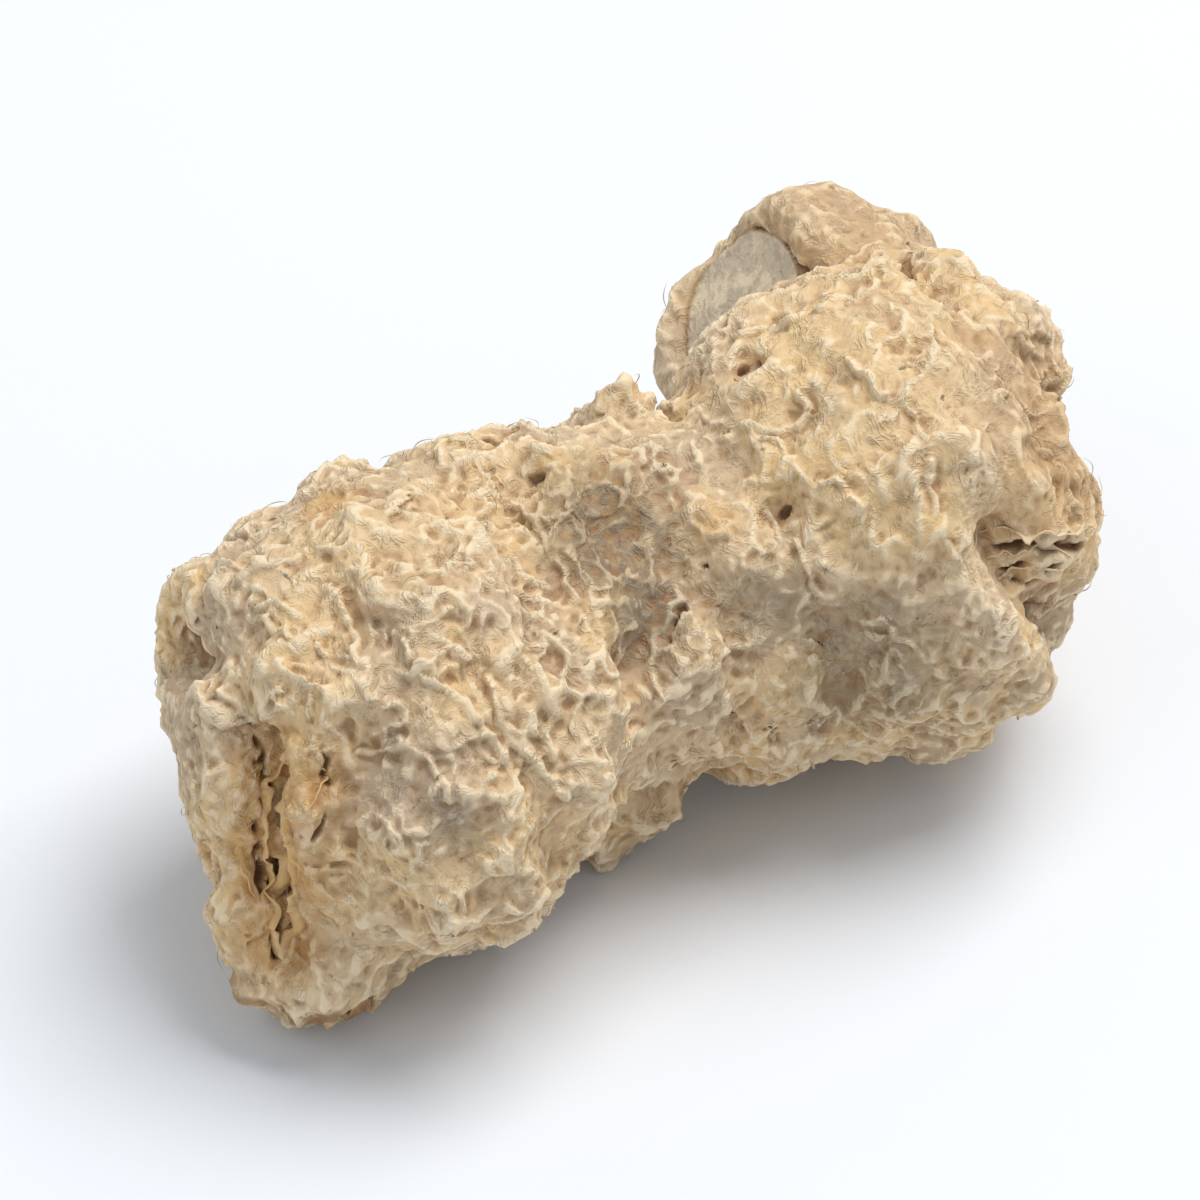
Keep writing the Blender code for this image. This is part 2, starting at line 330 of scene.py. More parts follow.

# %% [markdown]
# ## Named places on the root
#
# A real root isn't the same all over. The waist has a hollow, which is painted grey as
# shade, as are the dents and the low fronts of the knobs, and the stub and the far side of
# the main knob are painted darker as shade. The dry end has two greyish lumps, and between
# them the skin has split, so that the orange layers under it show. Root stubs leave brown
# holes. The knife left a crack beside the cut, and on the main knob three papery layers lie
# one below the other. Each becomes a mask on the fine mesh: tints for the colours and for
# the painted shade, and dents, holes and cracks that also go into the relief. Most are
# places in millimetres. The crack by the cut and the pale raised lines were easier to see
# in the photograph, so they are noted in its pixels.

# %% Tints and painted shade, as soft balls: middle, radius and share
TINTS = {
    # Painted shade: the grey balls lie in the waist's hollow, in the dents and on the low fronts of the
    # knobs.
    "grey": (((-2.1, -2.8, 15.8), 3.7, 1.0), ((-2.4, -5.4, 13.6), 2.6, 0.9),
             ((5.5, -9.6, 9.8), 4.0, 0.75), ((-13.9, -9.4, 11.6), 1.8, 0.5),
             ((1.8, -6.8, 12.6), 2.6, 0.6)),
    "mauve": (((-14.3, -8.2, 12.6), 2.8, 1.0), ((-16.9, 0.4, 14.6), 1.9, 0.20),
              # The mauve balls at (15.0, 6.5, 15.0) on the stub and at (15.5, -6.0, 13.5) on the far side of
              # the main knob are painted shade.
              ((-18.6, -0.6, 12.4), 1.8, 0.2), ((15.0, 6.5, 15.0), 5.5, 0.70),
              ((15.5, -6.0, 13.5), 4.8, 0.65), ((-12.0, -10.5, 8.5), 3.0, 0.3)),
    "yellow": (((9.0, -6.4, 17.4), 4.8, 1.0), ((11.5, -2.0, 18.6), 4.5, 0.7),
               ((-9.5, 0.5, 17.6), 4.2, 0.6), ((-3.0, -5.2, 3.4), 3.0, 0.9),
               ((16.0, 7.0, 14.5), 3.6, 0.5)),
    # Painted shade: these balls darken the stub, the far side of the main knob and the waist's hollow.
    "warm": (((15.0, 6.5, 15.0), 6.5, 0.55), ((15.5, -6.0, 13.5), 5.5, 1.0),
             ((-2.1, -2.8, 15.8), 3.7, 0.4)),
    "orange": (((1.7, -4.4, 15.4), 1.0, 0.6), ((-11.0, 3.6, 17.3), 1.3, 0.8),
               ((-17.6, -3.9, 11.8), 2.7, 1.0), ((-18.4, -4.4, 8.4), 2.9, 1.0),
               ((-19.2, -5.0, 5.4), 2.2, 0.9)),
}

# %% Dents as middle, radius and depth, the low dry edge, and holes as middle and radius
DENTS = (((-2.0, -2.8, 15.8), 2.4, 0.55), ((1.6, -7.0, 12.6), 2.2, 0.35), ((5.5, -9.8, 9.8), 2.2, 0.3))
LOW_EDGE = ((-20.4, -4.4, 3.0), (-19.5, -5.9, 2.4), (-18.3, -7.6, 2.3), (-16.4, -8.0, 1.7),
            (-14.4, -7.6, 1.2))
RUST_WIDTH = 0.55
HOLES = (((-3.5, 3.3, 16.7), 0.34), ((-3.3, 0.4, 16.8), 0.28), ((5.2, 2.8, 15.8), 0.26),
         ((5.9, 2.4, 16.2), 0.24), ((5.6, 1.9, 16.4), 0.20), ((6.8, 0.9, 16.9), 0.26),
         ((7.5, 0.5, 17.2), 0.22), ((4.5, -5.2, 15.1), 0.22), ((12.9, -10.1, 9.2), 0.8),
         ((-8.0, -5.6, 15.6), 0.22), ((-6.9, 3.2, 16.0), 0.24), ((1.4, -1.8, 16.8), 0.20))

# %% Cracks: half width, depth and points
CRACKS = (
    (0.13, 0.30, ((-17.7, -1.5, 12.1), (-17.9, -2.6, 10.9), (-18.3, -2.7, 9.5), (-18.9, -3.0, 7.8),
                  (-19.1, -4.1, 6.6))),
    (0.16, 0.38, ((-17.9, -3.1, 8.2), (-18.6, -3.7, 6.9), (-18.9, -4.7, 5.6), (-19.4, -5.1, 4.4))),
    (0.12, 0.20, ((-17.0, -5.0, 13.5), (-17.0, -5.8, 12.0), (-18.3, -6.0, 10.6))),
    (0.12, 0.35, ((-19.4, -1.8, 7.6), (-19.0, -3.0, 7.6), (-18.5, -4.6, 7.3))),
    (0.18, 0.50, ((11.9, -9.4, 12.8), (12.8, -10.0, 12.7), (14.1, -10.6, 12.3), (15.2, -10.3, 11.6))),
    (0.13, 0.28, ((11.9, -9.5, 11.9), (12.8, -10.2, 11.9), (13.8, -10.7, 11.7))),
    (0.12, 0.22, ((11.9, -9.8, 11.2), (13.2, -10.5, 11.1))),
    (0.14, 0.35, ((-17.2, 5.9, 13.0), (-16.8, 5.4, 12.6), (-16.3, 4.6, 12.4))),
    (0.12, 0.30, ((0.6, -5.2, 14.2), (-0.6, -5.9, 13.4), (-1.8, -6.3, 12.6))),
    (0.15, 0.40, ((-1.6, -6.4, 6.0), (1.2, -6.8, 5.5), (3.6, -8.6, 5.6))),
    (0.10, 0.25, ((10.4, -4.4, 18.9), (11.6, -5.4, 18.4), (12.6, -6.6, 17.2))),
    (0.10, 0.25, ((13.0, -7.4, 15.6), (13.8, -7.2, 15.0), (14.2, -8.2, 14.0), (13.6, -9.0, 13.6))),
    (0.10, 0.25, ((-14.2, -8.8, 10.0), (-13.0, -9.6, 9.0), (-12.2, -9.9, 7.6))),
)
CRACK_BY_THE_CUT = ((181, 604), (186, 608), (190, 612), (193, 614))
CRACK_BY_THE_CUT_SIZE = (0.20, 0.50)
WANDER = 0.35
WANDER_SCALE = 1.3


def wandering(points):
    """The points moved about a little, so that what is drawn along a straight line wanders."""
    moved = np.empty_like(points)
    for row, point in enumerate(points * WANDER_SCALE):
        place = Vector(point)
        moved[row] = [noise_value(place + Vector((0, 0, 7.3 * axis))) for axis in range(3)]
    return points + WANDER * moved


points = co / MM
wandered = wandering(points)
for name, balls in TINTS.items():
    tint = np.zeros(len(points))
    for middle, radius, share in balls:
        inside = 1 - step_between(distance(points, middle) / radius, 0.35, 1.25)
        tint = np.maximum(tint, share * inside)
    store(skin.data, "tint " + name, tint)
rust = 1 - step_between(line_distance(wandered, LOW_EDGE) / RUST_WIDTH, 0.4, 1.8)
store(skin.data, "tint rust", rust)

hole = np.zeros(len(points))
for middle, radius in HOLES:
    hole = np.maximum(hole, 1 - step_between(distance(wandered, middle) / radius, 0.4, 1.2))
store(skin.data, "hole", hole)
crack = np.zeros(len(points))
sink = np.zeros(len(points))
for half_width, depth, chain in CRACKS + ((*CRACK_BY_THE_CUT_SIZE, on_skin(CRACK_BY_THE_CUT)),):
    inside = 1 - step_between(line_distance(wandered, chain) / half_width, 0.5, 1.6)
    crack = np.maximum(crack, inside)
    sink = np.maximum(sink, depth * inside)
for middle, radius, depth in DENTS:
    sink += depth * (1 - step_between(distance(points, middle) / radius, 0.0, 1.4))
store(skin.data, "crack", crack)
store(skin.data, "sink", sink)

# %% Veins: the pale raised lines that stand out most, in the photograph's pixels
VEINS = {
    "middle of the main knob": ((214, 645), (217, 651), (221, 657), (222, 670), (226, 681), (229, 687)),
    "fork of the main knob": (
        (201, 638), (206, 641), (210, 645), (215, 645), (220, 641), (224, 635), (222, 629), (226, 624)),
    "left arm of the main knob": (
        (175, 654), (180, 653), (186, 655), (190, 655), (193, 650), (190, 645)),
    "fold in front of the stub": (
        (184, 622), (195, 617), (206, 616), (220, 612), (230, 613), (238, 610)),
    "fold above the waist": ((168, 635), (180, 630), (190, 627), (198, 624), (210, 618)),
    "ridge below the hole": ((183, 675), (185, 680), (190, 681), (193, 688), (195, 694)),
    "curl beside the hole": (
        (172, 656), (178, 654), (184, 657), (189, 663), (192, 666), (199, 667), (204, 672)),
    "low fold of the main knob": ((203, 700), (210, 700), (215, 705), (220, 709), (226, 714)),
    "right side of the main knob": ((240, 622), (243, 630), (246, 634)),
    "second line of the right side": ((246, 655), (250, 660), (254, 666), (258, 673)),
    "curved line of the near knob": ((77, 692), (81, 697), (84, 704), (84, 709)),
    "upper line of the near knob": ((101, 689), (111, 687), (120, 687), (126, 691), (135, 694)),
    "rim of the near knob": (
        (113, 674), (121, 672), (126, 675), (130, 681), (134, 691), (139, 700), (142, 706)),
    "long line of the near knob": (
        (94, 703), (98, 708), (106, 707), (113, 708), (117, 714), (118, 720), (121, 726), (126, 732),
        (132, 738), (135, 742)),
    "closed curl of the near knob": (
        (129, 703), (135, 707), (133, 715), (129, 719), (127, 711), (129, 703)),
    "line above the front lump": ((85, 731), (91, 731), (96, 729), (102, 731), (104, 736), (108, 742)),
    "fold above the split": ((62, 711), (68, 711), (73, 716), (75, 723), (73, 730)),
    "line of the left lump": ((46, 722), (53, 724), (61, 722)),
    "shoulder of the far bud": ((45, 689), (54, 687), (63, 686), (71, 685)),
    "fold behind the grey patch": ((59, 699), (66, 702), (76, 706), (83, 709)),
    "bow beside the front lump": (
        (100, 713), (107, 716), (112, 722), (118, 728), (122, 737), (121, 746)),
    "pale line of the waist": ((163, 692), (156, 702), (154, 710), (156, 718)),
}
VEIN_HALF_WIDTH = 0.13
VEIN_HEIGHT = 0.26

vein = np.zeros(len(points))
for pixels in VEINS.values():
    away = line_distance(wandered, on_skin(pixels)) / VEIN_HALF_WIDTH
    vein = np.maximum(vein, 1 - step_between(away, 0.2, 1.9))
store(skin.data, "vein", vein)

# %% How strongly the skin is crinkled: calmer on the main knob, and calmest on the stub
MAIN_KNOB_TOP = (10.0, -3.5, 16.0)
STUB_CALM = 0.45
KNOB_CALM = 0.35
calm_stub = STUB_CALM * (1 - step_between(from_stub, 5.0, STUB_REACH))
calm_knob = KNOB_CALM * (1 - step_between(distance(points, MAIN_KNOB_TOP), 6.0, 10.0))
store(skin.data, "calm", np.maximum(calm_stub, calm_knob))
print("masks:", ", ".join(sorted(layer.name for layer in skin.data.attributes if not layer.is_internal)))

# %% [markdown]
# ## Building node trees in code
#
# Both the relief and the materials are node trees. Small helpers keep their code short:
# one adds a node and sets or links its inputs, one starts a node group, and the others add
# a sum, a product, a noise or a smooth rise and hand back its result.

# %% Helpers for node trees
def node(tree, kind, inputs=(), **settings):
    """Adds a node. inputs maps a socket's name or number to a value or another socket."""
    made = tree.nodes.new(kind)
    for key, value in settings.items():
        setattr(made, key, value)
    for key, value in dict(inputs).items():
        if isinstance(value, bpy.types.NodeSocket):
            tree.links.new(value, made.inputs[key])
        else:
            made.inputs[key].default_value = value
    return made


def new_group(name, kind, inputs, outputs):
    """A node group with named sockets. Gives back its tree and the sockets it is given."""
    tree = bpy.data.node_groups.new(name, kind)
    for in_out, sockets in (("INPUT", inputs), ("OUTPUT", outputs)):
        for label, socket_kind in sockets.items():
            tree.interface.new_socket(label, in_out=in_out, socket_type="NodeSocket" + socket_kind)
    return tree, node(tree, "NodeGroupInput").outputs


def maths(tree, operation, *values, clamp=False):
    inputs = dict(enumerate(values))
    return node(tree, "ShaderNodeMath", inputs, operation=operation, use_clamp=clamp).outputs[0]


def times(tree, *values):
    """The product of two or more values."""
    product = values[0]
    for value in values[1:]:
        product = maths(tree, "MULTIPLY", product, value)
    return product


def vector_maths(tree, operation, *values, scale=None):
    inputs = dict(enumerate(values))
    if scale is not None:
        inputs["Scale"] = scale
    return node(tree, "ShaderNodeVectorMath", inputs, operation=operation).outputs[0]


def rise(tree, value, start, end, low_value=0.0, high_value=1.0):
    """Smoothly takes value from low_value at start to high_value at end."""
    made = node(tree, "ShaderNodeMapRange", {
        "Value": value, "From Min": start, "From Max": end,
        "To Min": low_value, "To Max": high_value}, interpolation_type="SMOOTHSTEP")
    return made.outputs["Result"]


def noise(tree, place, scale, detail=2.0, roughness=0.5, output=0):
    """A noise of so many waves a millimetre. place is in millimetres."""
    made = node(tree, "ShaderNodeTexNoise", {
        "Vector": place, "Scale": scale, "Detail": detail, "Roughness": roughness})
    return made.outputs[output]


def warped(tree, place, scale, reach, detail=1.0):
    """The place, moved about by a noise, so that what follows it wanders."""
    drift = noise(tree, place, scale, detail, output=1)
    drift = vector_maths(tree, "SUBTRACT", drift, (0.5, 0.5, 0.5))
    return vector_maths(tree, "ADD", place, vector_maths(tree, "SCALE", drift, scale=2 * reach))


def mask(tree, name):
    """A mask of the mesh, for Geometry Nodes."""
    return node(tree, "GeometryNodeInputNamedAttribute", {"Name": name}, data_type="FLOAT").outputs[0]


def blurred(tree, value, steps, kind="FLOAT", weight=1.0):
    """The value, evened out over the mesh in so many steps."""
    inputs = {"Value": value, "Iterations": steps, "Weight": weight}
    return node(tree, "GeometryNodeBlurAttribute", inputs, data_type=kind).outputs[0]

# %% [markdown]
# ## The crinkled skin as relief
#
# As a rhizome dries, its flesh shrinks and its corky skin is left too large. It swells into
# soft lumps and folds into thin crests: long ones that wander over the knobs, and a finer
# net of curled ridges between them. Each set of crests is a noise, folded where it passes
# its middle value. That gives sharp ridges with round hollows between them, as in crumpled
# paper, and where the place that the noise reads is itself bent, the ridges curl. Geometry
# Nodes move the fine mesh along its normals by the sum. Afterwards they measure how far
# each point lies below its surroundings, near and wide, so that the colours, with the shade
# painted into the creases and hollows, follow the real folds.

# %% The relief tree
RELIEF_SIZES = {
    "Swelling height": 0.28, "Fold height": 0.26, "Net height": 0.14, "Cell height": 0.11,
    "Crinkle height": 0.12, "Grain height": 0.08, "Vein height": VEIN_HEIGHT, "Hole depth": 0.36}
RELIEF_LOWERED = 0.14
CREST_LEAN = 0.75
LIP_ROUNDING = 40
NEAR_STEPS = 12
WIDE_STEPS = 200


def ridges(tree, place, scale, steepness, sharpness):
    """Crests where a noise passes its middle value: 1 on the crest and about 0 between."""
    value = maths(tree, "MULTIPLY_ADD", noise(tree, place, scale, 0.0), 2.0, -1.0)
    away = times(tree, maths(tree, "ABSOLUTE", value), steepness)
    return maths(tree, "POWER", maths(tree, "SUBTRACT", 1.0, away, clamp=True), sharpness)


def moved_aside(tree, place, offset):
    """Another part of the same noise."""
    return vector_maths(tree, "ADD", place, offset)


def turned_and_stretched(tree, place, angles, stretch):
    """The place turned and then squeezed along its axes, for ridges that run one way."""
    inputs = {"Vector": place, "Rotation": angles}
    turned = node(tree, "ShaderNodeVectorRotate", inputs, rotation_type="EULER_XYZ")
    return vector_maths(tree, "MULTIPLY", turned.outputs[0], stretch)


def relief_tree():
    tree, given = new_group(
        "crinkled skin relief", "GeometryNodeTree",
        {"Skin": "Geometry", **dict.fromkeys(RELIEF_SIZES, "Float"), "Material": "Material"},
        {"Relief": "Geometry"})
    position = node(tree, "GeometryNodeInputPosition").outputs[0]
    normal = node(tree, "GeometryNodeInputNormal").outputs[0]
    place = vector_maths(tree, "SCALE", position, scale=1 / MM)

    # Soft swellings between the folds.
    swelling = maths(tree, "SUBTRACT", noise(tree, place, 0.36, 1.5), 0.5)
    height = times(tree, swelling, 2.4, given["Swelling height"])

    # Long folds that run down over the knobs, strong in some places and gone in others.
    bent = warped(tree, place, 0.45, 0.9)
    long_way = turned_and_stretched(tree, bent, (0.3, 0.5, 0.9), (1.0, 0.55, 0.8))
    fold = ridges(tree, long_way, 0.50, 5.2, 1.5)
    fold = times(tree, fold, rise(tree, noise(tree, place, 0.4, 1.0), 0.40, 0.58, 0.15, 1.0))
    cross_way = moved_aside(tree, bent, (31.0, 7.0, 3.0))
    cross_way = turned_and_stretched(tree, cross_way, (0.9, 0.2, -0.6), (1.0, 0.7, 0.7))
    cross = ridges(tree, cross_way, 0.6, 4.8, 1.5)
    strength = noise(tree, moved_aside(tree, place, (5.0, 5.0, 5.0)), 0.45, 1.0)
    cross = times(tree, cross, rise(tree, strength, 0.44, 0.60))
    fold = maths(tree, "MAXIMUM", fold, cross)

    # The finer net: curled ridges, and the rims of small cells.
    curly = warped(tree, warped(tree, place, 0.7, 0.6), 1.6, 0.16)
    net = ridges(tree, moved_aside(tree, curly, (3.0, 19.0, 11.0)), 1.05, 3.2, 1.5)
    strength = noise(tree, moved_aside(tree, place, (9.0, 1.0, 4.0)), 0.5, 1.0)
    net = times(tree, net, rise(tree, strength, 0.36, 0.58, 0.25, 1.0))
    cells = node(tree, "ShaderNodeTexVoronoi", {
        "Vector": curly, "Scale": 0.5}, feature="DISTANCE_TO_EDGE")
    rim = rise(tree, cells.outputs["Distance"], 0.0, 0.085, 1.0, 0.0)
    rim = times(tree, rim, rise(tree, noise(tree, place, 0.55, 1.0), 0.46, 0.58))

    # Small crinkles that run one way, and grain.
    crinkle = turned_and_stretched(tree, curly, (0.7, 0.4, 0.2), (1.0, 0.5, 0.8))
    crinkle = ridges(tree, crinkle, 2.1, 2.0, 1.4)
    grain = noise(tree, warped(tree, place, 1.5, 0.25), 1.8, 2.0, 0.6)
    grain = times(tree, maths(tree, "SUBTRACT", grain, 0.5), 2.4)

    # The sum, calmer where the skin is, and then what was seen in the photograph.
    for name, value in (("Fold", fold), ("Net", net), ("Cell", rim), ("Crinkle", crinkle),
                        ("Grain", grain)):
        height = maths(tree, "MULTIPLY_ADD", value, given[name + " height"], height)
    height = maths(tree, "SUBTRACT", height, RELIEF_LOWERED)
    lively = maths(tree, "SUBTRACT", 1.0, mask(tree, "calm"))
    height = blurred(tree, times(tree, height, lively), 1)
    height = maths(tree, "MULTIPLY_ADD", mask(tree, "vein"), given["Vein height"], height)
    height = maths(tree, "SUBTRACT", height, times(tree, mask(tree, "hole"), given["Hole depth"]))
    height = maths(tree, "SUBTRACT", height, mask(tree, "sink"))
    off_cut = maths(tree, "SUBTRACT", 1.0, mask(tree, "cut"))
    height = times(tree, height, off_cut)

    # The crests lean over a little, as thin paper does.
    crests = maths(tree, "MAXIMUM", maths(tree, "MAXIMUM", fold, rim), net)
    crests = times(tree, crests, times(tree, off_cut, lively))
    lean = vector_maths(tree, "SUBTRACT", noise(tree, place, 0.5, 0.0, output=1), (0.5, 0.5, 0.5))
    lean = vector_maths(tree, "SCALE", lean, scale=times(tree, crests, CREST_LEAN))
    outward = vector_maths(tree, "SCALE", normal, scale=height)
    move = vector_maths(tree, "SCALE", vector_maths(tree, "ADD", outward, lean), scale=MM)

    # The lip is rounded first, and then everything is moved.
    rounded = blurred(tree, position, LIP_ROUNDING, "FLOAT_VECTOR", mask(tree, "lip"))
    geometry = given["Skin"]
    for change in ({"Position": rounded}, {"Offset": move}):
        geometry = node(tree, "GeometryNodeSetPosition", {"Geometry": geometry, **change}).outputs[0]

    def sunk_below(steps):
        """How far below its surroundings each point lies now, in millimetres."""
        away = vector_maths(tree, "SUBTRACT", blurred(tree, position, steps, "FLOAT_VECTOR"), position)
        dot = node(tree, "ShaderNodeVectorMath", {0: away, 1: normal}, operation="DOT_PRODUCT")
        return maths(tree, "DIVIDE", dot.outputs["Value"], MM)

    for name, value in (("cut soft", blurred(tree, mask(tree, "cut"), 5)),
                        ("sunk near", sunk_below(NEAR_STEPS)), ("sunk wide", sunk_below(WIDE_STEPS))):
        geometry = node(tree, "GeometryNodeStoreNamedAttribute", {
            "Geometry": geometry, "Name": name, "Value": value},
            data_type="FLOAT", domain="POINT").outputs["Geometry"]
    painted = node(tree, "GeometryNodeSetMaterial", {
        "Geometry": geometry, "Material": given["Material"]})
    node(tree, "NodeGroupOutput", {"Relief": painted.outputs[0]})
    return tree

# %% [markdown]
# ## The colours of dry skin
#
# From a step away the root is sand coloured. Close up, the crests are pale cream, since
# they are loose paper with air behind them, and the skin between them is tan, with
# yellower patches on the knobs. The hollows are greyer and mauve and the creases browner,
# partly in the skin's own colour and partly as painted shade. Holes and cracks are brown,
# with painted shade in them. The net of fine fibres is needed in every finish of this root,
# at its own strength, so it is a node group with inputs for its place and its scale.

# %% The fine net, shared by the finishes
def fine_net_group():
    tree, given = new_group(
        "fine papery net", "ShaderNodeTree",
        {"Place": "Vector", "Lines a millimetre": "Float"}, {"Lines": "Float", "Height": "Float"})
    place, scale = given["Place"], given["Lines a millimetre"]
    bent = warped(tree, warped(tree, place, 0.8, 0.6), 2.4, 0.12)
    first = turned_and_stretched(tree, bent, (0.3, 0.5, 0.9), (1.0, 0.4, 0.7))
    first = ridges(tree, first, scale, 2.0, 1.5)
    second = ridges(tree, moved_aside(tree, bent, (9.0, 4.0, 2.0)), times(tree, scale, 2.0), 1.8, 1.4)
    strength = rise(tree, noise(tree, place, 0.8, 1.0), 0.35, 0.62, 0.3, 1.0)
    lines = times(tree, maths(tree, "MAXIMUM", first, times(tree, second, 0.7)), strength)
    grain = noise(tree, bent, times(tree, scale, 5.0), 2.0, 0.6)
    height = maths(tree, "MULTIPLY_ADD", grain, 0.35, times(tree, lines, 0.75))
    node(tree, "NodeGroupOutput", {"Lines": lines, "Height": height})
    return tree


fine_net = fine_net_group()

# %% The material helpers
def new_material(name):
    """A new material. Gives back the material, its node tree and its surface node."""
    material = bpy.data.materials.new(name)
    material.use_nodes = True
    tree = material.node_tree
    return material, tree, tree.nodes["Principled BSDF"]


def object_place(tree):
    """The place on the root, in millimetres."""
    coordinates = node(tree, "ShaderNodeTexCoord").outputs["Object"]
    return vector_maths(tree, "SCALE", coordinates, scale=1 / MM)


def attribute(tree, name):
    return node(tree, "ShaderNodeAttribute", attribute_name=name).outputs["Fac"]


def blended(tree, share, first, second):
    """Mixes two colours, each a socket or linear red, green and blue."""
    first, second = (colour if isinstance(colour, bpy.types.NodeSocket) else (*colour, 1)
                     for colour in (first, second))
    return node(tree, "ShaderNodeMix", {0: share, 6: first, 7: second}, data_type="RGBA").outputs[2]


def spot_distance(tree, place, scale):
    """How far away the nearest of many spots is. scale is as for noise."""
    inputs = {"Vector": place, "Scale": scale}
    return node(tree, "ShaderNodeTexVoronoi", inputs, feature="F1").outputs["Distance"]


def bumped(tree, surface, height, depth):
    bump = node(tree, "ShaderNodeBump", {"Height": height, "Distance": depth * MM})
    tree.links.new(bump.outputs[0], surface.inputs["Normal"])


def fine_net_at(tree, place, lines_a_millimetre):
    net = node(tree, "ShaderNodeGroup", node_tree=fine_net)
    tree.links.new(place, net.inputs["Place"])
    net.inputs["Lines a millimetre"].default_value = lines_a_millimetre
    return net

# %% The skin's material
PALE_CREST = (0.93, 0.755, 0.515)
SAND = (0.72, 0.515, 0.30)
YELLOW_TAN = (0.78, 0.53, 0.255)
MAUVE_GREY = (0.47, 0.345, 0.245)
PAINTED_SHADE_GREY = (0.19, 0.155, 0.11)
PAINTED_WARM_SHADE = (0.88, 0.79, 0.68)
ORANGE_TAN = (0.66, 0.37, 0.125)
RUST = (0.36, 0.195, 0.085)
DEEP_BROWN = (0.17, 0.088, 0.038)
CUT_CREAM = (0.88, 0.73, 0.515)
CUT_GREY = (0.655, 0.545, 0.395)
SKIN_BUMP = 0.12
SHEEN = 0.22


def skin_material():
    material, tree, surface = new_material("dry papery skin")
    place = object_place(tree)
    net = fine_net_at(tree, place, 2.4)
    mottle = noise(tree, place, 2.2, 3.0, 0.65)

    # The broad patches, and then the named ones. The grey one and part of the mauve one are painted shade.
    colour = blended(tree, rise(tree, noise(tree, place, 0.13, 2.0), 0.42, 0.60), SAND, YELLOW_TAN)
    patches = noise(tree, moved_aside(tree, place, (5.0, 11.0, 2.0)), 0.25, 3.0)
    patches = times(tree, rise(tree, patches, 0.46, 0.64), 0.65)
    colour = blended(tree, patches, colour, MAUVE_GREY)
    for name, tint_colour, share in (("yellow", YELLOW_TAN, 0.75), ("mauve", MAUVE_GREY, 0.85),
                                     ("grey", PAINTED_SHADE_GREY, 0.95)):
        uneven = rise(tree, mottle, 0.32, 0.58, 0.55, 1.0)
        tint = times(tree, attribute(tree, "tint " + name), uneven, share)
        colour = blended(tree, tint, colour, tint_colour)
    colour = blended(tree, rise(tree, mottle, 0.46, 0.70, 0.0, 0.35), colour, MAUVE_GREY)

    # Brown where the skin lies deep, in the small creases and in the wide hollows.
    # Greyer in the wide hollows and browner in the small creases, where the skin lies deep: partly the
    # skin's own darker colour between its crests, partly painted shade.
    wide = rise(tree, attribute(tree, "sunk wide"), -0.10, 0.75, 0.0, 0.50)
    colour = blended(tree, wide, colour, MAUVE_GREY)
    sunk_near = attribute(tree, "sunk near")
    colour = blended(tree, rise(tree, sunk_near, 0.008, 0.08, 0.0, 0.74), colour, RUST)

    # Cream crests and fine lines, and then the orange flesh that the split shows.
    raised = maths(tree, "MAXIMUM", rise(tree, sunk_near, -0.010, -0.070), attribute(tree, "vein"))
    # The pale crests are dimmed where the grey painted shade lies.
    shown = maths(tree, "MULTIPLY_ADD", attribute(tree, "tint grey"), -0.50, 1.0)
    colour = blended(tree, times(tree, raised, 0.80, shown), colour, PALE_CREST)
    colour = blended(tree, times(tree, net.outputs["Lines"], 0.42, shown), colour, PALE_CREST)
    orange = times(tree, attribute(tree, "tint orange"), rise(tree, mottle, 0.32, 0.58, 0.5, 0.85))
    colour = blended(tree, orange, colour, ORANGE_TAN)

    # Painted shade: the stub, the far side of the main knob and the waist's hollow are painted darker and
    # warmer.
    shaded = vector_maths(tree, "MULTIPLY", colour, PAINTED_WARM_SHADE)
    colour = blended(tree, attribute(tree, "tint warm"), colour, shaded)

    # The dry edge, small brown specks, and the holes and cracks, whose dark brown is partly their own colour
    # and partly painted shade.
    colour = blended(tree, times(tree, attribute(tree, "tint rust"), 0.88), colour, RUST)
    speck = rise(tree, spot_distance(tree, warped(tree, place, 2.5, 0.25), 1.3), 0.06, 0.20, 1.0, 0.0)
    speckled = rise(tree, noise(tree, place, 0.5, 1.0), 0.50, 0.6)
    colour = blended(tree, times(tree, speck, speckled, 0.7), colour, RUST)
    deep = maths(tree, "MAXIMUM", times(tree, attribute(tree, "hole"), 0.70), attribute(tree, "crack"))
    colour = blended(tree, deep, colour, DEEP_BROWN)

    # The knife's cut: dry flesh, greyer, with the ends of its fibres as small dots.
    flesh = rise(tree, noise(tree, place, 0.8, 4.0, 0.65), 0.42, 0.58)
    flesh = blended(tree, flesh, CUT_CREAM, CUT_GREY)
    flesh = blended(tree, rise(tree, mottle, 0.48, 0.66, 0.0, 0.5), flesh, MAUVE_GREY)
    dots = rise(tree, spot_distance(tree, place, 2.1), 0.08, 0.26, 0.45, 0.0)
    flesh = blended(tree, dots, flesh, MAUVE_GREY)
    cut_soft = attribute(tree, "cut soft")
    colour = blended(tree, rise(tree, cut_soft, 0.45, 0.60), colour, flesh)
    rim = times(tree, rise(tree, cut_soft, 0.10, 0.40), rise(tree, cut_soft, 0.85, 0.55), 0.5)
    colour = blended(tree, rim, colour, RUST)
    tree.links.new(colour, surface.inputs["Base Color"])

    roughness = rise(tree, mottle, 0.3, 0.7, 0.78, 0.96)
    tree.links.new(roughness, surface.inputs["Roughness"])
    surface.inputs["Specular IOR Level"].default_value = SHEEN
    calmer = rise(tree, attribute(tree, "cut"), 0.0, 1.0, 1.0, 0.6)
    bumped(tree, surface, times(tree, net.outputs["Height"], calmer), SKIN_BUMP)
    return material


dry_skin = skin_material()

